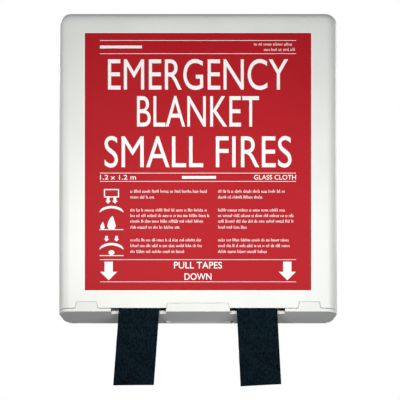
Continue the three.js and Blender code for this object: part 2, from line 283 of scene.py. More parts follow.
YARN = 1.45 * MM
PICK = 2.6 * MM
# In each weave the second colour is the painted shade in the hollows between yarns.
webbing_weave, webbing = woven(
    "Polyester webbing, navy plain weave", "#122934", "#010305", YARN, PICK, 2.6 * MM, 0.25 * MM
)
feed(webbing, {"Roughness": 0.75, "Specular IOR Level": 0.05})
glass_weave, glass = woven(
    "Glass cloth, loomstate plain weave", "#efece1", "#cfcaba", 1.1 * MM, 2.2 * MM, 3 * MM, 0.16 * MM
)
feed(glass, {"Roughness": 0.8, "Specular IOR Level": 0.5, "Sheen Weight": 0.1})
print("yarns in 10 mm of webbing:", round(10 * MM / YARN, 1))

# %% [markdown]
# ## Zinc-plated steel and sewing thread
#
# Screws and the hinge pin are bright zinc on steel. Plating hides the turning marks only partly, so
# a stretched noise leaves faint rings of uneven roughness, and the metal keeps the default IOR.
# The thread is twisted polyester: a fine wave across each stitch stands for its twist. It bumps
# the thread and darkens the grooves of the twist, a painted shade.

# %% Steel and thread


def zinc_steel(name):
    made, shader, node = material(name)
    place = node("TexCoord").outputs["Object"]
    drawn_out = node("Mapping", {"Vector": place, "Scale": (0.3, 6.0, 1.0)})
    marks = node("TexNoise", {"Vector": drawn_out, "Scale": 1 / (0.8 * MM), "Detail": 4.0})
    stain = node("TexNoise", {"Vector": place, "Scale": 1 / (3 * MM), "Detail": 3.0})
    tints = {"Factor": stain, "A": linear("#a9adb0"), "B": linear("#cfd3d4")}
    colour = node("Mix", tints, data_type="RGBA")
    gloss = node("MapRange", {"Value": marks, "To Min": 0.24, "To Max": 0.48})
    bump = node("Bump", {"Height": marks, "Strength": 0.3, "Distance": 0.02 * MM})
    feed(shader, {"Base Color": colour.outputs["Result"], "Roughness": gloss, "Normal": bump})
    feed(shader, {"Metallic": 1.0})
    return made


def sewing_thread(name):
    made, shader, node = material(name)
    wave = {"Vector": node("TexCoord").outputs["Object"], "Scale": 1 / (2.4 * MM), "Distortion": 1.5}
    twist_and_groove_shade = node("TexWave", wave, bands_direction="DIAGONAL").outputs["Fac"]
    # The darker tint is painted shade in the grooves of the twist.
    tints = {"Factor": twist_and_groove_shade, "A": linear("#bdb8ab"), "B": linear("#e3dfd4")}
    colour = node("Mix", tints, data_type="RGBA")
    bump = node("Bump", {"Height": twist_and_groove_shade, "Strength": 0.6, "Distance": 0.08 * MM})
    feed(shader, {"Base Color": colour.outputs["Result"], "Normal": bump})
    feed(shader, {"Roughness": 0.65, "Sheen Weight": 0.15})
    return made


zinc = zinc_steel("Steel, bright zinc plated")
thread = sewing_thread("Polyester sewing thread, twisted")
print("small finishes:", zinc.name, "/", thread.name)

# %% [markdown]
# ## Helpers for pieces
#
# Every finished piece sits at the origin with its place in its mesh, carries one material, rides on
# a body of the solid model or on none, and hides the solids that it stands for. A soft bevel on each
# hard edge catches a thin line of light, as a real moulding does. Hardened normals keep the flats flat.

# %% Piece helpers


def piece(name, bm, body, finish, stands_for=(), bevel=0.0, angle=35, solidify=0.0):
    """Makes the bmesh an object that rides on a body, or on none if no body is given."""
    mesh = bpy.data.meshes.new(name)
    for face in bm.faces:
        face.smooth = True
    bm.to_mesh(mesh)
    bm.free()
    mesh.materials.append(finish)
    mesh.set_sharp_from_angle(angle=math.radians(angle))
    made = bpy.data.objects.new(name, mesh)
    bpy.context.collection.objects.link(made)
    if solidify:
        shell = made.modifiers.new("wall", "SOLIDIFY")
        shell.thickness = solidify
        shell.offset = -1
        shell.use_even_offset = True
    if bevel:
        soft = made.modifiers.new("soft_edges", "BEVEL")
        soft.width = bevel
        soft.segments = 2
        soft.limit_method = "ANGLE"
        soft.angle_limit = math.radians(angle)
        soft.harden_normals = True
    if body:
        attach(made, body)
    if stands_for:
        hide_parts(*stands_for)
    print(f"{name}: {len(mesh.polygons)} faces before modifiers, body {body or 'blended'}")
    return made


def close_up(bm, reach=TOUCH):
    """Merges doubles, then turns every face outwards."""
    bmesh.ops.remove_doubles(bm, verts=bm.verts, dist=reach)
    bmesh.ops.recalc_face_normals(bm, faces=bm.faces)


def slice_off(bm, place, direction, faces=None, keep_both=False):
    """Cuts with a plane, and drops what lies on the side that the direction points to."""
    chosen = bm.faces[:] if faces is None else faces
    edges = {e for f in chosen for e in f.edges}
    verts = {v for f in chosen for v in f.verts}
    plane = {"plane_co": place, "plane_no": direction, "clear_outer": not keep_both}
    bmesh.ops.bisect_plane(bm, geom=[*chosen, *edges, *verts], dist=HAIR, **plane)


def turned(bm, profile, centre, axis, steps=24):
    """Spins a closed profile of (radius, distance along the axis) points into a ring or a pin."""
    along = Vector(axis)
    out = Vector((0, 0, 1))
    verts = [bm.verts.new(centre + out * r + along * d) for r, d in profile]
    edges = [bm.edges.new((a, b)) for a, b in zip(verts, verts[1:] + verts[:1])]
    around = {"cent": centre, "axis": along, "angle": 2 * math.pi, "steps": steps}
    bmesh.ops.spin(bm, geom=verts + edges, use_merge=True, **around)
    bmesh.ops.dissolve_degenerate(bm, dist=HAIR, edges=bm.edges)


def bevelled(bm, geom, offset, segments, affect="EDGES"):
    """Rounds edges, or the corners of a flat face."""
    settings = {"profile": 0.5, "affect": affect, "material": -1}
    return bmesh.ops.bevel(bm, geom=geom, offset=offset, segments=segments, **settings)


def add_block(bm, x_range, y_range, z_range):
    """Adds one upright block between two places across, in depth and up."""
    ranges = (x_range, y_range, z_range)
    made = bmesh.ops.create_cube(bm, size=1)["verts"]
    bmesh.ops.scale(bm, vec=[high - low for low, high in ranges], verts=made)
    bmesh.ops.translate(bm, vec=[(low + high) / 2 for low, high in ranges], verts=made)
    return made


def pull_out(bm, faces, move, keep=False):
    """Extrudes faces as one region, moves the new ones, and returns the points that moved."""
    made = bmesh.ops.extrude_face_region(bm, geom=faces)
    moved = [v for v in made["geom"] if isinstance(v, bmesh.types.BMVert)]
    if not keep:
        bmesh.ops.delete(bm, geom=faces, context="FACES")
    bmesh.ops.translate(bm, vec=move, verts=moved)
    return moved


# %% [markdown]
# ## The rounded box that the case is cut from
#
# Cover and back are parted from one rounded box. It starts as a cube. Its four corner edges are
# bevelled first, then the rim of its front face, because a bevel that runs round already rounded
# corners keeps an even width.

# %% Rounded box
BOX_REAR = 4 * MM
CORNER_STEPS = 14


def rounded_box():
    """The outer skin of the case, closed, and deeper than the case so that its rear can be cut off."""
    bm = bmesh.new()
    add_block(bm, (back_lo.x, back_hi.x), (front_y, BOX_REAR), (back_lo.z, back_hi.z))
    corners = [e for e in bm.edges if abs(e.verts[0].co.y - e.verts[1].co.y) > (BOX_REAR - front_y) / 2]
    bevelled(bm, corners, CORNER_RADIUS, CORNER_STEPS)
    rim = [e for e in bm.edges if all(v.co.y < front_y + TOUCH for v in e.verts)]
    bevelled(bm, rim, EDGE_RADIUS, 12)
    return bm


# %% [markdown]
# ## Front cover
#
# The cover is a thin shell. Here the box is sliced along the sloping seam and near the wall, which
# leaves an open skin, and a Solidify modifier gives it its 2.4 mm wall. The three shallow recesses
# for the flap's tongues are pressed into the skin before that, as in a real moulding, where the
# wall keeps its thickness and the inside bulges. A narrow inset round the front face keeps its
# normals straight, so the large flat shades evenly.

# %% Front cover
TONGUE_THICKNESS = 1 * MM
TONGUE_CLEARANCE = 0.4 * MM
FACE_INSET = 0.6 * MM
SIDE_TONGUE = {"top": 6.1 * MM, "half_top": 9.9 * MM, "half_seam": 11.2 * MM}
TONGUES = [
    {"x": -111.5 * MM, **SIDE_TONGUE},
    {"x": 0.0, "top": 4.7 * MM, "half_top": 30.5 * MM, "half_seam": 31.2 * MM},
    {"x": 111.5 * MM, **SIDE_TONGUE},
]


def press_recess(bm, tongue):
    """Presses the recess of one tongue into the flat front of the cover."""
    spare = TONGUE_CLEARANCE
    top = seam_front + tongue["top"] + spare
    lean = (tongue["half_seam"] - tongue["half_top"]) / tongue["top"]

    def front():
        return [f for f in bm.faces if f.calc_center_median().y < front_y + NEAR and f.normal.y < -0.9]

    for side in (-1, 1):
        at = Vector((tongue["x"] + side * (tongue["half_seam"] + spare), 0, seam_front))
        slice_off(bm, at, Vector((side, 0, lean)), front(), keep_both=True)
    slice_off(bm, Vector((0, 0, top)), Vector((0, 0, 1)), front(), keep_both=True)
    inside = []
    for face in front():
        middle = face.calc_center_median()
        half = tongue["half_seam"] + spare - lean * (middle.z - seam_front)
        if middle.z < top and abs(middle.x - tongue["x"]) < half:
            inside.append(face)
    depth = TONGUE_THICKNESS + SEAM_GAP
    for vert in pull_out(bm, inside, (0, depth, 0)):
        if vert.co.z < seam_front + NEAR:
            vert.co.z -= depth * SEAM_SLOPE
    sill = [f for f in bm.faces if all(v.co.z < seam_z(v.co.y) + NEAR for v in f.verts)]
    bmesh.ops.delete(bm, geom=sill, context="FACES")


def front_cover():
    bm = rounded_box()
    slice_off(bm, Vector((0, cover_hi.y, 0)), Vector((0, 1, 0)))
    slice_off(bm, Vector((0, front_y, seam_front)), Vector((0, -SEAM_SLOPE, -1)).normalized())
    face = max(bm.faces, key=lambda f: f.calc_area())
    bmesh.ops.inset_region(bm, faces=[face], thickness=FACE_INSET, use_boundary=False, use_even_offset=True)
    for tongue in TONGUES:
        press_recess(bm, tongue)
    close_up(bm)
    name = "front_cover_moulding"
    piece(name, bm, "case", white_abs, ["front_cover"], bevel=0.3 * MM, solidify=WALL)


front_cover()

# %% [markdown]
# ## Floor and light
#
# The floor is a wide pale disc below the hanging tapes. It is stage, not object, and a little
# glow that only the camera sees keeps it pale without lighting the case's foot. The sky is plain
# white where the camera sees it and a weaker white where it lights the case, so the background
# stays clean while the shading keeps its depth. A small key lamp stands near and a little to the
# left, so it lights the foot of the cover more than the top and throws the tapes' shadows to the
# right. A broad fill on the right softens them, a left and a top lamp shape the rounded edges, and
# two lamps behind light the wall side.

# %% Floor and light
FLOOR_Z = -1.25
FLOOR_GLOW = 0.85
FLOOR_RADIUS = 1.4
SKY_STRENGTH = 0.12


def sky():
    world = bpy.data.worlds.new("studio_sky")
    world.use_nodes = True
    world.node_tree.nodes.clear()
    node = partial(add, world.node_tree)
    camera_ray = node("LightPath").outputs["Is Camera Ray"]
    seen = node("Background", {"Color": (1, 1, 1, 1), "Strength": 1.0})
    lit = node("Background", {"Color": linear("#f4f7ff"), "Strength": SKY_STRENGTH})
    either = node("MixShader", {0: camera_ray, 1: lit, 2: seen})
    node("OutputWorld", {"Surface": either})
    bpy.context.scene.world = world


def lamp(name, place, target, width, height, watts, tint="#ffffff", spread=180):
    data = bpy.data.lights.new(name, "AREA")
    data.shape = "RECTANGLE"
    data.size, data.size_y = width, height
    data.energy = watts
    data.spread = math.radians(spread)
    data.color = linear(tint)[:3]
    made = bpy.data.objects.new(name, data)
    made.location = place
    made.rotation_euler = (Vector(target) - Vector(place)).to_track_quat("-Z", "Y").to_euler()
    made.visible_camera = False
    bpy.context.collection.objects.link(made)


def floor():
    made, shader, node = material("Studio floor, matt pale paint")
    place = node("TexCoord").outputs["Object"]
    roller = node("TexNoise", {"Vector": place, "Scale": 1 / (40 * MM), "Detail": 4.0})
    tints = {"Factor": roller, "A": linear("#dcdcd9"), "B": linear("#e4e4e1")}
    colour = node("Mix", tints, data_type="RGBA").outputs["Result"]
    camera_ray = node("LightPath").outputs["Is Camera Ray"]
    glow = node("Math", {0: camera_ray, 1: FLOOR_GLOW}, operation="MULTIPLY")
    feed(shader, {"Base Color": colour, "Emission Color": colour, "Emission Strength": glow})
    feed(shader, {"Roughness": 0.7})
    bm = bmesh.new()
    bmesh.ops.create_circle(bm, cap_ends=True, segments=96, radius=FLOOR_RADIUS)
    bmesh.ops.translate(bm, vec=(0, 0, FLOOR_Z), verts=bm.verts)
    mesh = bpy.data.meshes.new("studio_floor")
    bm.to_mesh(mesh)
    bm.free()
    mesh.materials.append(made)
    ground = bpy.data.objects.new("studio_floor", mesh)
    bpy.context.collection.objects.link(ground)


sky()
floor()
lamp("key_lamp", (-0.15, -0.54, -0.08), (0, 0, -0.06), 0.07, 0.07, 0.44, "#fffbf6", spread=110)
lamp("fill_lamp", (0.24, -0.52, -0.13), (0.04, 0, -0.06), 0.35, 0.2, 0.62, spread=110)
lamp("left_lamp", (-0.75, -0.4, -0.02), (0, 0, 0), 0.3, 0.5, 0.36, spread=90)
lamp("top_lamp", (0.1, -0.45, 0.85), (0, 0, 0.12), 0.5, 0.3, 0.62, spread=110)
lamp("back_left_lamp", (-0.9, 1.2, 0.5), (0, 0, 0), 0.6, 0.6, 3.0, spread=80)
lamp("back_right_lamp", (1.1, 0.9, 0.2), (0, 0, 0), 0.5, 0.5, 1.6, spread=80)
print("floor at, m:", FLOOR_Z)

# %% [markdown]
# ## Screw posts inside the cover
#
# Four round posts stand inside the cover and take the screws that come through the back. Each is a
# turned shape: an open profile from the axis, out, along, and back to the axis in a blind pilot
# hole, spun once round.

# %% Screw posts
SCREW_X = 129.5 * MM
SCREW_PLACES = {
    "upper_left": (-SCREW_X, 128 * MM),
    "upper_right": (SCREW_X, 128 * MM),
    "lower_left": (-SCREW_X, -108 * MM),
    "lower_right": (SCREW_X, -108 * MM),
}
POST_RADIUS = 4.2 * MM
PILOT_RADIUS = 1.6 * MM
ROUND_OFF = 0.3 * MM
OVERLAP = 0.1 * MM
POST_EDGE = 0.4 * MM
DRILL_POINT = 0.8 * MM
POST_START, POST_END, PILOT_END = front_y + WALL - POST_EDGE, -5.3 * MM, -18.5 * MM


def cover_posts():
    bm = bmesh.new()
    profile = [
        (0, POST_START),
        (POST_RADIUS, POST_START),
        (POST_RADIUS, POST_END - POST_EDGE),
        (POST_RADIUS - POST_EDGE, POST_END),
        (PILOT_RADIUS + ROUND_OFF, POST_END),
        (PILOT_RADIUS, POST_END - ROUND_OFF),
        (PILOT_RADIUS, PILOT_END),
        (0, PILOT_END - DRILL_POINT),
    ]
    for x, z in SCREW_PLACES.values():
        turned(bm, profile, Vector((x, 0, z)), (0, 1, 0))
    close_up(bm)
    piece("cover_screw_posts", bm, "case", white_abs)


cover_posts()

# %% [markdown]
# ## Bottom flap
#
# The flap is a sloping plate with a thicker lip in front. It is drawn in plan first, where its
# notches for the tapes, its clearances for the hinge and its rounded front corners are plain cuts
# in a flat face. That face is extruded once, a shallow pocket is pressed in its upper side, and then
# the whole plate is sheared to the slope of the seam. Last, the three tongues rise from the lip.

# %% Bottom flap
FLAP_REAR = -4.2 * MM
LIP_DEPTH = 10 * MM
POCKET_DEPTH = 1 * MM
POCKET_RIM = 4 * MM
NOTCH = (32 * MM, 87 * MM)
NOTCH_REAR = -32.8 * MM
HINGE_Y = -6 * MM
KNUCKLE_RADIUS = 2.4 * MM
KNUCKLE_HALF = 26 * MM
EAR_RELIEF = 36 * MM
RELIEF_Y = HINGE_Y - 1.5 * KNUCKLE_RADIUS
POCKET_REAR = HINGE_Y - 2 * KNUCKLE_RADIUS
CORNER_TRIM = (130.5 * MM, -6.9 * MM)
FAIRING = 0.75 * MM
BORE_RADIUS = 1.4 * MM
HINGE = Vector((0, HINGE_Y, seam_z(HINGE_Y) - SEAM_GAP - FLAP_THICKNESS / 2))


def plan_cuts(bm, faces, xs, ys):
    """Cuts faces along lines of constant x, on both sides, and of constant y."""
    for x in [side * x for x in xs for side in (-1, 1)]:
        slice_off(bm, Vector((x, 0, 0)), Vector((1, 0, 0)), faces(), keep_both=True)
    for y in ys:
        slice_off(bm, Vector((0, y, 0)), Vector((0, 1, 0)), faces(), keep_both=True)


def drop_plan(bm, x_range, y_range):
    """Deletes the plan's faces between two distances from the middle and two depths."""
    gone = []
    for face in bm.faces:
        middle = face.calc_center_bounds()
        if x_range[0] < abs(middle.x) < x_range[1] and y_range[0] < middle.y < y_range[1]:
            gone.append(face)
    bmesh.ops.delete(bm, geom=gone, context="FACES")


def side_reach(z):
    """Half width of the case at a height, where its lower corners round off."""
    full = back_hi.x
    drop = (back_lo.z + CORNER_RADIUS) - z
    if drop <= 0:
        return full
    return full - CORNER_RADIUS + math.sqrt(max(CORNER_RADIUS**2 - drop**2, 0))


def flap_plan():
    """The flap seen from above, as one flat layer of faces at height 0."""
    bm = bmesh.new()
    bmesh.ops.create_grid(bm, x_segments=1, y_segments=1, size=0.5)
    bmesh.ops.scale(bm, vec=(2 * back_hi.x, FLAP_REAR - front_y, 1), verts=bm.verts)
    bmesh.ops.translate(bm, vec=(0, (FLAP_REAR + front_y) / 2, 0), verts=bm.verts)
    corners = [v for v in bm.verts if v.co.y < front_y + TOUCH]
    bevelled(bm, corners, EDGE_RADIUS, CORNER_STEPS, "VERTICES")
    lines_x = [*NOTCH, KNUCKLE_HALF, EAR_RELIEF, CORNER_TRIM[0]]
    lines_y = [NOTCH_REAR, RELIEF_Y, CORNER_TRIM[1], front_y + LIP_DEPTH, POCKET_REAR]
    plan_cuts(bm, lambda: bm.faces[:], lines_x, lines_y)
    drop_plan(bm, NOTCH, (front_y - MM, NOTCH_REAR))
    drop_plan(bm, (KNUCKLE_HALF, EAR_RELIEF), (RELIEF_Y, 0))
    drop_plan(bm, (CORNER_TRIM[0], back_hi.x), (CORNER_TRIM[1], 0))
    return bm


def press_pocket(bm):
    """Presses the shallow pocket into the upper side, inside a rim as thick as the cover's wall."""
    inner = back_hi.x - WALL - POCKET_RIM

    def upper():
        return [f for f in bm.faces if f.normal.z > 0.9]

    plan_cuts(bm, upper, [inner], [])
    floor_faces = []
    for face in upper():
        middle = face.calc_center_bounds()
        if abs(middle.x) < inner and front_y + LIP_DEPTH < middle.y < POCKET_REAR:
            floor_faces.append(face)
    pull_out(bm, floor_faces, (0, 0, -POCKET_DEPTH))


def shear_to_seam(bm):
    """Lays the flat plate on the slope and draws its sides in where the case rounds off."""
    for vert in bm.verts:
        vert.co.z += seam_z(vert.co.y) - SEAM_GAP - FLAP_THICKNESS
        inset = back_hi.x - side_reach(vert.co.z)
        share = (abs(vert.co.x) - (back_hi.x - CORNER_RADIUS)) / CORNER_RADIUS
        if share > 0:
            vert.co.x -= math.copysign(inset * share, vert.co.x)


def fair_knuckle(bm):
    """Thickens the underside in front of the knuckle, so that it runs into it without a step."""
    for vert in bm.verts:
        low = vert.co.z < seam_z(vert.co.y) - SEAM_GAP - FLAP_THICKNESS + OVERLAP
        ahead = POCKET_REAR < vert.co.y < FLAP_REAR - MM
        if low and ahead and abs(vert.co.x) < KNUCKLE_HALF + OVERLAP:
            share = (vert.co.y - POCKET_REAR) / (CORNER_TRIM[1] - POCKET_REAR)
            vert.co.z -= FAIRING * share


def raise_tongues(bm):
    """Extrudes each tongue from the front strip of the lip, narrower at its top."""

    def lip():
        return [f for f in bm.faces if f.normal.z > 0.8 and f.calc_center_bounds().y < front_y + LIP_DEPTH]

    slice_off(bm, Vector((0, front_y + TONGUE_THICKNESS, 0)), Vector((0, 1, 0)), lip(), keep_both=True)
    for tongue in TONGUES:
        for side in (-1, 1):
            at = Vector((tongue["x"] + side * tongue["half_seam"], 0, 0))
            slice_off(bm, at, Vector((1, 0, 0)), lip(), keep_both=True)
    for tongue in TONGUES:
        foot = []
        for face in lip():
            middle = face.calc_center_bounds()
            if middle.y < front_y + TONGUE_THICKNESS and abs(middle.x - tongue["x"]) < tongue["half_seam"]:
                foot.append(face)
        narrow = tongue["half_top"] / tongue["half_seam"]
        for vert in pull_out(bm, foot, (0, 0, 0)):
            vert.co.z = seam_front + tongue["top"]
            vert.co.x = tongue["x"] + (vert.co.x - tongue["x"]) * narrow


def bottom_flap():
    bm = flap_plan()
    pull_out(bm, bm.faces[:], (0, 0, FLAP_THICKNESS), keep=True)
    close_up(bm)
    walls = [f for f in bm.faces if abs(f.normal.z) < 0.1]
    for share in (0.25, 0.5, 0.75):
        slice_off(bm, Vector((0, 0, share * FLAP_THICKNESS)), Vector((0, 0, 1)), walls, keep_both=True)
        walls = [f for f in bm.faces if abs(f.normal.z) < 0.1]
    press_pocket(bm)
    shear_to_seam(bm)
    fair_knuckle(bm)
    bm.normal_update()
    raise_tongues(bm)
    close_up(bm)
    piece("bottom_flap_moulding", bm, "flap", flap_abs, ["bottom_flap"], bevel=0.35 * MM)


def flap_knuckle():
    bm = bmesh.new()
    profile = [
        (BORE_RADIUS, -KNUCKLE_HALF),
        (KNUCKLE_RADIUS - ROUND_OFF, -KNUCKLE_HALF),
        (KNUCKLE_RADIUS, -KNUCKLE_HALF + ROUND_OFF),
    ]
    profile += [(r, -d) for r, d in reversed(profile)]
    turned(bm, profile, HINGE, (1, 0, 0), steps=32)
    close_up(bm)
    piece("bottom_flap_knuckle", bm, "flap", flap_abs)


bottom_flap()
flap_knuckle()

# %% [markdown]
# ## Back shell
#
# The back is a flat plate with a flange inside the cover, four bosses for the screws, and two ears
# that carry the hinge pin. The plate is filled between its outline and the edges of its holes, and
# extruded once, so every hole is a true opening. A keyhole lets a wall screw's head in below and
# holds its neck in the slot above.

# %% Back shell
BACK_PLATE = 3 * MM
FLANGE_INSET = WALL + 0.4 * MM
FLANGE_WALL = 1.8 * MM
FLANGE_DEPTH = 13 * MM
FLANGE_END_Z = -146 * MM
SUNK = 0.2 * MM
BOSS_RADIUS = 5 * MM
BOSS_FRONT = -5 * MM
COUNTERBORE_RADIUS = 3.3 * MM
COUNTERBORE_DEPTH = 2.6 * MM
CLEARANCE_RADIUS = 1.9 * MM
KEYHOLE = {"x": 80 * MM, "z": 118 * MM, "head": 4.8 * MM, "slot": 2.4 * MM, "travel": 12 * MM}
EAR = (26.4 * MM, 33 * MM)


def rounded_outline(bm, inset, y):
    """The rounded rectangle of the case, set in by an inset, as a loop of edges at a depth."""
    made = bmesh.ops.create_grid(bm, x_segments=1, y_segments=1, size=0.5)["verts"]
    width, height = back_hi.x - back_lo.x - 2 * inset, back_hi.z - back_lo.z - 2 * inset
    bmesh.ops.scale(bm, vec=(width, height, 1), verts=made)
    bmesh.ops.rotate(bm, cent=(0, 0, 0), matrix=Matrix.Rotation(math.pi / 2, 3, "X"), verts=made)
    bmesh.ops.translate(bm, vec=(0, y, (back_hi.z + back_lo.z) / 2), verts=made)
    rounded = bevelled(bm, made, CORNER_RADIUS - inset, CORNER_STEPS, "VERTICES")
    face = rounded["verts"][0].link_faces[0]
    edges = face.edges[:]
    bmesh.ops.delete(bm, geom=[face], context="FACES_ONLY")
    return edges


def arc(bm, centre, radius, start, stop, steps):
    """Spins one vertex into an arc in the plane of the wall. Angles are in degrees from +Z."""
    angle = math.radians(start)
    first = bm.verts.new(centre + Vector((math.sin(angle), 0, math.cos(angle))) * radius)
    sweep = {"cent": centre, "axis": (0, 1, 0), "angle": math.radians(stop - start), "steps": steps}
    spun = bmesh.ops.spin(bm, geom=[first], **sweep)
    return first, spun["geom_last"][0]


def keyhole(bm, x):
    """The edge of a keyhole: a wide arc for the head, two straight sides, a narrow arc on top."""
    head = Vector((x, 0, KEYHOLE["z"]))
    top = head + Vector((0, 0, KEYHOLE["travel"]))
    half_opening = math.degrees(math.asin(KEYHOLE["slot"] / KEYHOLE["head"]))
    low_start, low_end = arc(bm, head, KEYHOLE["head"], half_opening, 360 - half_opening, 28)
    top_start, top_end = arc(bm, top, KEYHOLE["slot"], -90, 90, 12)
    bm.edges.new((low_end, top_start))
    bm.edges.new((top_end, low_start))


def filled_plate():
    bm = bmesh.new()
    rounded_outline(bm, 0, 0)
    for side in (-1, 1):
        keyhole(bm, side * KEYHOLE["x"])
    for x, z in SCREW_PLACES.values():
        arc(bm, Vector((x, 0, z)), COUNTERBORE_RADIUS, 0, 360, 24)
    bmesh.ops.remove_doubles(bm, verts=bm.verts, dist=TOUCH)
    bmesh.ops.triangle_fill(bm, use_beauty=True, use_dissolve=False, edges=bm.edges[:])
    bmesh.ops.dissolve_limit(bm, angle_limit=0.01, verts=bm.verts, edges=bm.edges, delimit=set())
    pull_out(bm, bm.faces[:], (0, -BACK_PLATE, 0), keep=True)
    return bm


def flange(bm):
    """A wall between two rounded outlines, open at its foot where the flap's hinge sits."""
    rim = bmesh.new()
    root = -BACK_PLATE + SUNK
    outer = rounded_outline(rim, FLANGE_INSET, root)
    inner = rounded_outline(rim, FLANGE_INSET + FLANGE_WALL, root)
    bmesh.ops.bridge_loops(rim, edges=outer + inner)
    pull_out(rim, rim.faces[:], (0, -FLANGE_DEPTH - root, 0), keep=True)
    slice_off(rim, Vector((0, 0, FLANGE_END_Z)), Vector((0, 0, -1)))
    bmesh.ops.holes_fill(rim, edges=[e for e in rim.edges if e.is_boundary])
    absorb(bm, rim)


def absorb(bm, other):
    """Moves another bmesh's shape into this one."""
    held = bpy.data.meshes.new("held")
    other.to_mesh(held)
    other.free()
    bm.from_mesh(held)
    bpy.data.meshes.remove(held)


def bosses(bm):
    profile = [
        (CLEARANCE_RADIUS, -COUNTERBORE_DEPTH),
        (COUNTERBORE_RADIUS + OVERLAP, -COUNTERBORE_DEPTH),
        (COUNTERBORE_RADIUS + OVERLAP, -BACK_PLATE + OVERLAP),
        (BOSS_RADIUS, -BACK_PLATE + OVERLAP),
        (BOSS_RADIUS, BOSS_FRONT + ROUND_OFF),
        (BOSS_RADIUS - ROUND_OFF, BOSS_FRONT),
        (CLEARANCE_RADIUS, BOSS_FRONT),
    ]
    for x, z in SCREW_PLACES.values():
        turned(bm, profile, Vector((x, 0, z)), (0, 1, 0))


def ears(bm):
    low, high = EAR
    for side in (-1, 1):
        ends = sorted((side * low, side * high))
        ring = [(BORE_RADIUS, ends[0]), (KNUCKLE_RADIUS, ends[0])]
        ring += [(KNUCKLE_RADIUS, ends[1]), (BORE_RADIUS, ends[1])]
        turned(bm, ring, HINGE, (1, 0, 0), steps=32)
        reach = (HINGE_Y + BORE_RADIUS + OVERLAP, -BACK_PLATE + OVERLAP)
        add_block(bm, ends, reach, (HINGE.z - KNUCKLE_RADIUS, HINGE.z + KNUCKLE_RADIUS))


def back_shell():
    bm = filled_plate()
    flange(bm)
    bosses(bm)
    ears(bm)
    close_up(bm)
    name = "back_shell_moulding"
    piece(name, bm, "case", back_abs, ["back_shell"], bevel=0.3 * MM, angle=50)


back_shell()

# %% [markdown]
# ## Hinge pin and cover screws
#
# The pin is a short steel rod with domed ends. Each screw is turned too: a pan head towards the
# wall, a shank with ridges for its thread, and a point. The cross recess is the one shape here that
# needs a cut, so a small four-armed punch is taken away from the head once, and the finished mesh
# serves all four places.

# %% Hinge pin
PIN_RADIUS = 1.1 * MM
PIN_HALF = 34.5 * MM
PIN_DOME = 0.5 * MM
DOME_STEPS = 6


def hinge_pin():
    bm = bmesh.new()
    profile = [(0, -PIN_HALF)]
    for step in range(1, DOME_STEPS + 1):
        angle = math.radians(step * 90 / DOME_STEPS)
        profile.append((PIN_RADIUS * math.sin(angle), -PIN_HALF + PIN_DOME * (1 - math.cos(angle))))
    profile += [(r, -d) for r, d in reversed(profile)]
    turned(bm, profile, HINGE, (1, 0, 0), steps=28)
    close_up(bm)
    piece("hinge_pin_rod", bm, "case", zinc, ["hinge_pin"])


hinge_pin()

# %% Screw shape
HEAD_FLOOR = -COUNTERBORE_DEPTH + SEAM_GAP
HEAD_RADIUS, HEAD_TOP = 2.8 * MM, -0.3 * MM
CORE_RADIUS, CREST_RADIUS = 1.0 * MM, 1.42 * MM
THREAD_PITCH = 1.1 * MM
THREAD_TURNS = 10
SCREW_TIP = -17 * MM
HEAD_DOME, HEAD_STEPS, HEAD_EDGE = 1.0 * MM, 7, 0.2 * MM
NECK = 1.2 * MM
TIP_RADIUS, TIP_LENGTH = 0.25 * MM, 0.3 * MM
RECESS_ARM, RECESS_WIDTH, RECESS_DEPTH = 1.5 * MM, 0.55 * MM, 1.1 * MM
RECESS_TAPER = 0.6
RECESS_TURN = math.radians(31)


def screw_profile():
    points = [(0, HEAD_TOP)]
    for step in range(1, HEAD_STEPS + 1):
        angle = math.radians(step * 90 / HEAD_STEPS)
        points.append((HEAD_RADIUS * math.sin(angle), HEAD_TOP - HEAD_DOME * (1 - math.cos(angle))))
    points += [(HEAD_RADIUS, HEAD_FLOOR + HEAD_EDGE), (HEAD_RADIUS - HEAD_EDGE, HEAD_FLOOR)]
    points.append((CREST_RADIUS, HEAD_FLOOR))
    start = HEAD_FLOOR - NECK
    points.append((CORE_RADIUS, start))
    for turn in range(THREAD_TURNS):
        root = start - turn * THREAD_PITCH
        points.append((CREST_RADIUS, root - 0.5 * THREAD_PITCH))
        points.append((CORE_RADIUS, root - THREAD_PITCH))
    points += [(TIP_RADIUS, SCREW_TIP + TIP_LENGTH), (0, SCREW_TIP)]
    return points


def cut_away(bm, punch):
    """Takes a punch away from a solid with one Boolean. The punch may cross itself."""
    scratch = []
    for shape in (bm, punch):
        mesh = bpy.data.meshes.new("scratch")
        shape.to_mesh(mesh)
        shape.free()
        holder = bpy.data.objects.new("scratch", mesh)
        bpy.context.collection.objects.link(holder)
        scratch.append(holder)
    tool = scratch[0].modifiers.new("cut", "BOOLEAN")
    tool.operation, tool.object, tool.solver = "DIFFERENCE", scratch[1], "EXACT"
    tool.use_self = True
    graph = bpy.context.evaluated_depsgraph_get()
    result = bmesh.new()
    result.from_object(scratch[0], graph)
    for holder in scratch:
        mesh = holder.data
        bpy.data.objects.remove(holder)
        bpy.data.meshes.remove(mesh)
    return result


def screw_shape():
    bm = bmesh.new()
    turned(bm, screw_profile(), Vector((0, 0, 0)), (0, 1, 0))
    close_up(bm)
    punch = bmesh.new()
    for along, across in ((RECESS_ARM, RECESS_WIDTH), (RECESS_WIDTH, RECESS_ARM)):
        arm = bmesh.ops.create_cube(punch, size=2)["verts"]
        bmesh.ops.scale(punch, vec=(along, RECESS_DEPTH, across), verts=arm)
        for vert in arm:
            if vert.co.y < 0:
                vert.co.x *= RECESS_TAPER
                vert.co.z *= RECESS_TAPER
        bmesh.ops.translate(punch, vec=(0, HEAD_TOP, 0), verts=arm)
        bmesh.ops.rotate(punch, cent=(0, 0, 0), matrix=Matrix.Rotation(RECESS_TURN, 3, "Y"), verts=arm)
    bm = cut_away(bm, punch)
    close_up(bm, HAIR)
    held = bpy.data.meshes.new("screw_shape")
    bm.to_mesh(held)
    bm.free()
    return held


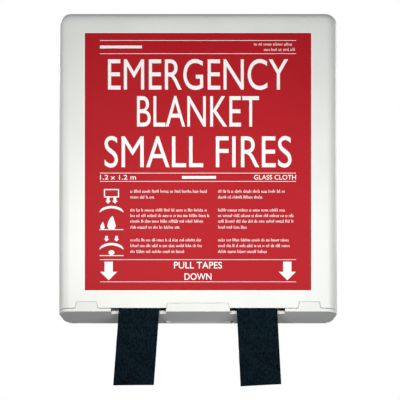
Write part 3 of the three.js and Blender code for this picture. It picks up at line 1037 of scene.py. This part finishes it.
# %% Four cover screws
DRIVEN_TURN = 37
screw_mesh = screw_shape()
print(f"Screw shape: {len(screw_mesh.polygons)} faces.")
for corner, (x, z) in SCREW_PLACES.items():
    bm = bmesh.new()
    bm.from_mesh(screw_mesh)
    driven = Matrix.Rotation(math.radians(DRIVEN_TURN * len(corner)), 3, "Y")
    bmesh.ops.rotate(bm, cent=(0, 0, 0), matrix=driven, verts=bm.verts)
    bmesh.ops.translate(bm, vec=(x, 0, z), verts=bm.verts)
    piece(f"screw_{corner}", bm, "case", zinc, [f"cover_screw_{corner}"], angle=30)
bpy.data.meshes.remove(screw_mesh)

# %% [markdown]
# ## Pull tapes
#
# Each tape is one length of navy webbing. Its upper part is sewn to the blanket's edge inside the
# case, and the rest hangs out through a notch in the flap. It is a strip with a row of points for
# every crossing of the weave. Each crown is raised and each crossing sunk by a twelfth of a
# millimetre, which roughens the edge of the real thing in the same way. The strip then gets its
# thickness, and its own UV map in metres carries the finer weave of the finish. Free webbing is
# never quite flat, so it cups a little towards the end, and its cut foot is sealed with heat.

# %% Tape sizes
TAPE_WIDTH = 40.6 * MM
TAPE_BODY = 1.04 * MM
TAPE_MIDDLE_Y = -36.35 * MM
TAPE_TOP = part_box("left_tape_sewn")[1].z
TAPE_SLOT_Z = -140 * MM
WEAVE_RISE = 0.07 * MM
CUP, WAVE, FRAY = 0.8 * MM, 0.9 * MM, 0.18 * MM
SELVEDGE_FLAT = 0.7
LEFT_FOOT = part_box("left_tape_hanging")[0].z + 0.1 * MM
TAPES = {
    "left": {"x": -59 * MM, "foot": LEFT_FOOT, "lean": -5.6 * MM, "slant": 0.2 * MM},
    "right": {"x": 59 * MM, "foot": -216.5 * MM, "lean": 4.0 * MM, "slant": 1.1 * MM},
}
print("tape length, mm:", round((TAPE_TOP - TAPES["right"]["foot"]) / MM, 1))

# %% Woven strip


def cloth_map(bm, width_of, length_of):
    """Writes the UV map in metres from where each point lies on the flat cloth."""
    layer = bm.loops.layers.uv.new("cloth")
    for face in bm.faces:
        for loop in face.loops:
            loop[layer].uv = (width_of(loop.vert.co), length_of(loop.vert.co))


def tape_strip(side):
    tape = TAPES[side]
    length = TAPE_TOP - tape["foot"]
    yarns, picks = round(TAPE_WIDTH / YARN), round(length / PICK)
    bm = bmesh.new()
    bmesh.ops.create_grid(bm, x_segments=yarns * 2, y_segments=picks * 2, size=0.5)
    bmesh.ops.scale(bm, vec=(TAPE_WIDTH, length, 1), verts=bm.verts)
    cloth_map(bm, lambda co: co.x + TAPE_WIDTH / 2, lambda co: co.y)
    flow = random.Random(len(side))
    drift = flow.uniform(0, 50)
    for vert in bm.verts:
        across, down = vert.co.x, length / 2 - vert.co.y
        column, row = round((across / TAPE_WIDTH + 0.5) * yarns * 2), round(down / length * picks * 2)
        weave = 0.0
        if column % 2 == 1 and row % 2 == 1:
            weave = WEAVE_RISE * (1 if (column // 2 + row // 2) % 2 else -1)
        out = across / (TAPE_WIDTH / 2)
        selvedge = 1 - abs(out) ** 14 * SELVEDGE_FLAT
        z = TAPE_TOP - down
        free = max(0.0, (TAPE_SLOT_Z - z) / (TAPE_SLOT_Z - tape["foot"]))
        smooth = free * free * (3 - 2 * free)
        wave = noise.noise(Vector((across * 18, z * 22, drift))) * WAVE * smooth
        cup = out**2 * CUP * smooth
        edge = noise.noise(Vector((drift, z * 60, math.copysign(7, across)))) * FRAY
        turn = free * tape["lean"]
        slant = tape["slant"] * out * smooth
        sideways = across + math.copysign(edge, across) * abs(out) ** 8
        depth = TAPE_MIDDLE_Y - weave * selvedge - wave - cup
        vert.co = Vector((tape["x"] + sideways + turn, depth, z + slant))
    bmesh.ops.recalc_face_normals(bm, faces=bm.faces)
    if sum(f.normal.y for f in bm.faces) > 0:
        bmesh.ops.reverse_faces(bm, faces=bm.faces)
    bmesh.ops.translate(bm, vec=(0, -TAPE_BODY / 2, 0), verts=bm.verts)
    bmesh.ops.solidify(bm, geom=bm.faces[:], thickness=TAPE_BODY)
    bmesh.ops.recalc_face_normals(bm, faces=bm.faces)
    return bm, length


def pull_tape(side):
    bm, length = tape_strip(side)
    nodes = [f"{side}_tape_sewn", f"{side}_tape_hanging"]
    made = piece(f"{side}_tape_webbing", bm, None, webbing_weave, nodes, angle=60)
    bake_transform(made)


for side in ("left", "right"):
    pull_tape(side)

# %% [markdown]
# ## Box stitching
#
# A square with a cross in it holds each tape to the blanket's edge. Every stitch is one short
# rounded grain of thread, laid from hole to hole, and sunk a little into the webbing. There are
# over a hundred, so each is a small sphere of few faces, stretched.

# %% Box stitching
STITCH_FRAME = 28.8 * MM
STITCH_MIDDLE_Z = -102 * MM
STITCH_LENGTH = 3.2 * MM
STITCH_THICK = 0.6 * MM
STITCH_Y = -36.95 * MM
STITCH_TILT = 0.06


def stitched_line(bm, start, stop, flow):
    run = stop - start
    count = max(1, round(run.length / STITCH_LENGTH))
    step = run / count
    for index in range(count):
        middle = start + step * (index + 0.5)
        grain = bmesh.ops.create_uvsphere(bm, u_segments=6, v_segments=5, radius=0.5)["verts"]
        tilt = math.atan2(step.x, step.z) + flow.uniform(-STITCH_TILT, STITCH_TILT)
        size = Matrix.Diagonal((STITCH_THICK, STITCH_THICK * 0.8, step.length * 0.97))
        place = Matrix.Rotation(tilt, 3, "Y") @ size
        bmesh.ops.transform(bm, matrix=place.to_4x4(), verts=grain)
        bmesh.ops.translate(bm, vec=middle, verts=grain)


def box_stitching(side):
    x = TAPES[side]["x"]
    half = STITCH_FRAME / 2
    ways = ((-1, -1), (1, -1), (1, 1), (-1, 1))
    corners = [Vector((x + dx * half, STITCH_Y, STITCH_MIDDLE_Z + dz * half)) for dx, dz in ways]
    flow = random.Random(11 + len(side))
    bm = bmesh.new()
    for first, second in ((0, 1), (1, 2), (2, 3), (3, 0), (0, 2), (1, 3)):
        stitched_line(bm, corners[first], corners[second], flow)
    close_up(bm, HAIR)
    name, node = f"{side}_tape_box_stitch", f"{side}_tape_stitching"
    piece(name, bm, "lead_fold", thread, [node], angle=80)


for side in ("left", "right"):
    box_stitching(side)

# %% [markdown]
# ## The folded blanket
#
# The blanket is one sheet of woven glass cloth, 1.2 m square. Inside the case it lies folded to the
# case's width and then up and down, so that it runs out without a snag. Here it is one continuous
# strip of the same area that goes up and down in layers, with a round bend at each end. A slow
# seeded wave, shared by neighbouring layers, keeps the stack from looking ruled.

# %% Folded cloth
CLOTH = 0.45 * MM
CLOTH_COLUMNS = 30
END_ROOM, SIDE_ROOM = 0.6 * MM, 1 * MM
SELVEDGE_WANDER = 0.8 * MM
LAYER_STEPS = 14
BEND_STEPS = 5


def folded_path(layers, front, rear, low, high):
    """Points (y, z) along a strip that goes down and up, with a half circle at each end."""
    pitch = (rear - front) / (layers - 1)
    bend = pitch / 2
    path = []
    for layer in range(layers):
        y = front + layer * pitch
        going_down = layer % 2 == 0
        first, last = (high - bend, low + bend) if going_down else (low + bend, high - bend)
        for step in range(LAYER_STEPS + 1):
            path.append((y, first + (last - first) * step / LAYER_STEPS))
        if layer < layers - 1:
            for step in range(1, BEND_STEPS):
                angle = math.pi * step / BEND_STEPS
                swing = -1 if going_down else 1
                path.append((y + bend - bend * math.cos(angle), last + swing * bend * math.sin(angle)))
    return path


def folded_cloth(name, node, body, layers, seed, drop):
    low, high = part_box(node)
    front, rear = low.y + CLOTH, high.y - CLOTH
    path = folded_path(layers, front, rear, low.z + END_ROOM, high.z - END_ROOM)
    bm = bmesh.new()
    width = high.x - low.x - 2 * SIDE_ROOM
    bmesh.ops.create_grid(bm, x_segments=CLOTH_COLUMNS, y_segments=len(path) - 1, size=0.5)
    walked = [0.0]
    for (y0, z0), (y1, z1) in zip(path, path[1:]):
        walked.append(walked[-1] + math.hypot(y1 - y0, z1 - z0))

    def row_of(co):
        return round((co.y + 0.5) * (len(path) - 1))

    rows = {vert: row_of(vert.co) for vert in bm.verts}
    cloth_map(bm, lambda co: (co.x + 0.5) * width, lambda co: walked[row_of(co)])
    spare = ((rear - front) / (layers - 1) - CLOTH) / 2
    for vert in bm.verts:
        y, z = path[rows[vert]]
        x = vert.co.x * width
        depth = noise.noise(Vector((x * 9, z * 11, seed + y * 30))) * spare * 0.9
        sag = noise.noise(Vector((x * 14, seed * 3 + y * 400, 2))) * drop
        edge = noise.noise(Vector((y * 700, z * 5, seed))) * SELVEDGE_WANDER * vert.co.x * 2
        vert.co = Vector((x + edge, y + depth, z + sag))
    bm.normal_update()
    for vert in bm.verts:
        vert.co += vert.normal * CLOTH / 2
    bmesh.ops.solidify(bm, geom=bm.faces[:], thickness=CLOTH)
    bmesh.ops.recalc_face_normals(bm, faces=bm.faces)
    middle_y = (low.y + high.y) / 2
    shift = middle_y - (min(v.co.y for v in bm.verts) + max(v.co.y for v in bm.verts)) / 2
    bmesh.ops.translate(bm, vec=(0, shift, 0), verts=bm.verts)
    made = piece(name, bm, body, glass_weave, [node], angle=60)
    print(f"{name}: strip {walked[-1]:.3f} m by {width:.3f} m, {walked[-1] * width:.3f} square metres")


folded_cloth("blanket_folds", "blanket_pack", "case", 23, 5.0, 0.5 * MM)
folded_cloth("leading_edge_fold", "blanket_lead_fold", "lead_fold", 4, 9.0, 0.25 * MM)

# %% [markdown]
# ## The printed label
#
# A label of this kind is a white film with one flat red printed over it, and everything white is
# bare film. In a model that has to look right from close by, film, red field and white shapes are
# three thin layers, each one a few hundredths of a millimetre proud of the last, so they have crisp
# edges at any distance. The wording is generic: a plain title and size, arrows, and three simple
# pictograms. Small print is only hinted at by rows of upright strokes that spell nothing.

# %% Label layers
FILM_CORNER = 1.2 * MM
RED_CORNER = 0.6 * MM
RED_MARGIN = 1.1 * MM
RED_LAYER = (-40.43 * MM, -40.34 * MM)
WHITE_LAYER = (-40.49 * MM, -40.42 * MM)


def rounded_sheet(x_range, y_range, z_range, radius, steps=6):
    """A thin upright sheet with rounded corners."""
    bm = bmesh.new()
    add_block(bm, x_range, y_range, z_range)
    corners = [e for e in bm.edges if abs(e.verts[0].co.y - e.verts[1].co.y) > TOUCH]
    bevelled(bm, corners, radius, steps)
    return bm


def add_bar(bm, x_range, z_range):
    """Adds one bar of bare film between two places across and up."""
    return add_block(bm, x_range, WHITE_LAYER, z_range)


def printed(name, bm):
    piece(name, bm, "case", bare_film)


def label_layers():
    across, depth, up = [list(ends) for ends in zip(label_lo, label_hi)]
    film = rounded_sheet(across, depth, up, FILM_CORNER)
    piece("label_film", film, "case", bare_film, ["label_sheet"])
    red_across, red_up = [(low + RED_MARGIN, high - RED_MARGIN) for low, high in (across, up)]
    red = rounded_sheet(red_across, RED_LAYER, red_up, RED_CORNER, 3)
    piece("label_red_field", red, "case", red_ink)


label_layers()

# %% [markdown]
# ## Lettering and rules
#
# Text is set with Blender's own font, made a mesh, and then fitted to the box that the line fills on
# the label. Fitting narrows it like a condensed face, and a small offset of the outline makes it bold.

# %% Title, size and rules


def letters(bm, text, x_range, z_range, weight=0.0):
    """Sets a line of text and fits it between two places across and up."""
    curve = bpy.data.curves.new("lettering", "FONT")
    curve.body = text
    curve.offset = weight
    curve.extrude = 0.5
    curve.resolution_u = 6
    holder = bpy.data.objects.new("lettering", curve)
    bpy.context.collection.objects.link(holder)
    graph = bpy.context.evaluated_depsgraph_get()
    mesh = bpy.data.meshes.new_from_object(holder.evaluated_get(graph))
    line = bmesh.new()
    line.from_mesh(mesh)
    bpy.data.objects.remove(holder)
    bpy.data.curves.remove(curve)
    bpy.data.meshes.remove(mesh)
    close_up(line)
    low = [min(v.co[axis] for v in line.verts) for axis in range(3)]
    high = [max(v.co[axis] for v in line.verts) for axis in range(3)]
    ranges = (x_range, z_range, WHITE_LAYER)
    for vert in line.verts:
        share = [(vert.co[a] - low[a]) / (high[a] - low[a]) for a in range(3)]
        x, z, y = (r[0] + (r[1] - r[0]) * s for r, s in zip(ranges, share))
        vert.co = Vector((x, y, z))
    bmesh.ops.recalc_face_normals(line, faces=line.faces)
    absorb(bm, line)


TITLE = [
    ("EMERGENCY", 90 * MM, (79 * MM, 110 * MM)),
    ("BLANKET", 61 * MM, (42.4 * MM, 73 * MM)),
    ("SMALL FIRES", 93.5 * MM, (1.4 * MM, 33 * MM)),
]
WORDING = [
    ("1.2 x 1.2 m", (-98 * MM, -62 * MM), (-10.6 * MM, -5.9 * MM)),
    ("GLASS CLOTH", (56 * MM, 98 * MM), (-10.6 * MM, -5.9 * MM)),
    ("PULL TAPES", (-24 * MM, 24 * MM), (-99.5 * MM, -92.8 * MM)),
    ("DOWN", (-13.5 * MM, 13.5 * MM), (-110.9 * MM, -104.2 * MM)),
]
WORDING_WEIGHT = 0.006
RULES = [128.5 * MM, 115.3 * MM, -4.1 * MM, -12.4 * MM, -90.6 * MM, -112.8 * MM]
RULE_HALF, RULE_THICK = 98 * MM, 0.5 * MM


def title_and_rules():
    bm = bmesh.new()
    for text, half, rows in TITLE:
        letters(bm, text, (-half, half), rows)
    printed("label_title", bm)
    bm = bmesh.new()
    for z in RULES:
        add_bar(bm, (-RULE_HALF, RULE_HALF), (z - RULE_THICK / 2, z + RULE_THICK / 2))
    printed("label_rules", bm)
    bm = bmesh.new()
    for text, x_range, z_range in WORDING:
        letters(bm, text, x_range, z_range, WORDING_WEIGHT)
    printed("label_wording", bm)


title_and_rules()

# %% [markdown]
# ## Arrows, pictograms and small print
#
# The arrows are a block with a wide triangular head. The pictograms are drawn from a few plain
# shapes: the case with its two tapes, a sheet held over a flame, and the sheet lying over it. A
# flame is a disc whose upper points are drawn up and swept to one side.

# %% Arrows and pictograms
ARROW_HALF, ARROW_SHAFT = 8.5 * MM, 4.1 * MM
ARROW_TOP, ARROW_SHOULDER, ARROW_TIP = -92.7 * MM, -102.8 * MM, -111 * MM


def down_arrow(bm, x, scale=1.0, top=ARROW_TOP):
    shaft = (ARROW_TOP - ARROW_SHOULDER) * scale
    head = (ARROW_SHOULDER - ARROW_TIP) * scale
    add_bar(bm, (x - ARROW_SHAFT * scale, x + ARROW_SHAFT * scale), (top - shaft, top))
    tip = top - shaft - head
    wedge = add_bar(bm, (x - ARROW_HALF * scale, x + ARROW_HALF * scale), (tip, top - shaft))
    for vert in wedge:
        if vert.co.z < tip + head / 2:
            vert.co.x = x + (vert.co.x - x) * 0.02


def flat_disc(bm, x, z, radius, shape):
    """Adds a disc as thick as the white layer, and passes each edge point through a shape."""
    disc = bmesh.new()
    bmesh.ops.create_circle(disc, cap_ends=True, segments=32, radius=1)
    for vert in disc.verts:
        across, up = shape(vert.co.x, vert.co.y)
        vert.co = Vector((x + across * radius, WHITE_LAYER[1], z + up * radius))
    pull_out(disc, disc.faces[:], (0, WHITE_LAYER[0] - WHITE_LAYER[1], 0), keep=True)
    bmesh.ops.recalc_face_normals(disc, faces=disc.faces)
    absorb(bm, disc)


def flame(across, up):
    """Pulls the upper half of a disc up to a point that leans."""
    if up <= 0:
        return across, up
    return across * (1 - up) ** 0.35 * 0.95 + 0.25 * up**3, up * 2.3


def sheet_arch(across, up):
    """Flattens a disc into a shallow arch, with a hollow underside."""
    return across, 0.55 * up if up > 0 else 0.35 * (1 - across * across)


def pictograms():
    bm = bmesh.new()
    left, right = -98.5 * MM, -74.5 * MM
    middle = (left + right) / 2
    frame_top, frame_foot, line = -20 * MM, -28.5 * MM, 1.1 * MM
    add_bar(bm, (left + 5 * MM, right - 5 * MM), (frame_top - line, frame_top))
    add_bar(bm, (left + 5 * MM, right - 5 * MM), (frame_foot, frame_foot + line))
    for side in (-1, 1):
        outer = middle + side * 7 * MM
        add_bar(bm, (outer - line / 2, outer + line / 2), (frame_foot, frame_top))
        down_arrow(bm, middle + side * 3.4 * MM, 0.34, frame_foot + 0.1 * MM)
    flat_disc(bm, middle, -56.5 * MM, 4.2 * MM, flame)
    flat_disc(bm, middle - 9 * MM, -58 * MM, 2.2 * MM, flame)
    flat_disc(bm, middle, -43.5 * MM, 12 * MM, sheet_arch)
    add_bar(bm, (left, right), (-61 * MM, -60.2 * MM))
    flat_disc(bm, middle, -80.5 * MM, 12 * MM, sheet_arch)
    flat_disc(bm, middle, -83.6 * MM, 3.0 * MM, lambda across, up: (across, up * 0.8))
    for side in (-1, 1):
        down_arrow(bm, middle + side * 5 * MM, 0.3, -67 * MM)
    add_bar(bm, (left, right), (-87 * MM, -86.2 * MM))
    printed("label_pictograms", bm)
    bm = bmesh.new()
    for side in (-1, 1):
        down_arrow(bm, side * 89.3 * MM)
    close_up(bm)
    printed("label_arrows", bm)


pictograms()

# %% Small print
PRINT_ROWS = [(-22.7, -28.5), (-41.5, -47, -52.6, -58.6), (-71.4, -77.1, -82.9)]
PRINT_COLUMNS = [(-67.5 * MM, 13.5 * MM), (20.2 * MM, 98 * MM)]
STROKE = 0.42 * MM
STROKE_STEP = 1.2 * MM
LOW_LETTER, TALL_LETTER = 2.0 * MM, 3.0 * MM
BAR_THICK, BAR_SPARE = 0.34 * MM, 0.15 * MM
TALL_SHARE, BAR_SHARE = 0.28, 0.55


def small_print():
    """Rows of upright strokes in word-like groups. Each has a foot and, now and then, a bar."""
    flow = random.Random(42)
    bm = bmesh.new()

    def row(x, stop, z):
        while x < stop - 2 * STROKE_STEP:
            word = flow.randint(2, 8)
            for _ in range(word):
                if x > stop - STROKE_STEP:
                    break
                height = TALL_LETTER if flow.random() < TALL_SHARE else LOW_LETTER
                foot = z - LOW_LETTER / 2
                add_bar(bm, (x, x + STROKE), (foot, foot + height))
                if flow.random() < BAR_SHARE:
                    level = foot + flow.choice((0.0, 0.42, 0.8)) * LOW_LETTER
                    add_bar(bm, (x + STROKE * 0.9, x + STROKE_STEP - BAR_SPARE), (level, level + BAR_THICK))
                x += STROKE_STEP
            x += STROKE_STEP

    for start, stop in PRINT_COLUMNS:
        for block in PRINT_ROWS:
            for index, z in enumerate(block):
                last = index == len(block) - 1
                end = start + (stop - start) * (flow.uniform(0.3, 0.75) if last else flow.uniform(0.86, 1.0))
                row(start, end, z * MM)
    row(56 * MM, 98 * MM, 124.4 * MM)
    row(66 * MM, 98 * MM, 119.0 * MM)
    add_bar(bm, (-98 * MM, -56 * MM), (120.6 * MM, 123.4 * MM))
    add_bar(bm, (-16 * MM, 18 * MM), (-9.7 * MM, -7 * MM))
    printed("label_small_print", bm)


small_print()
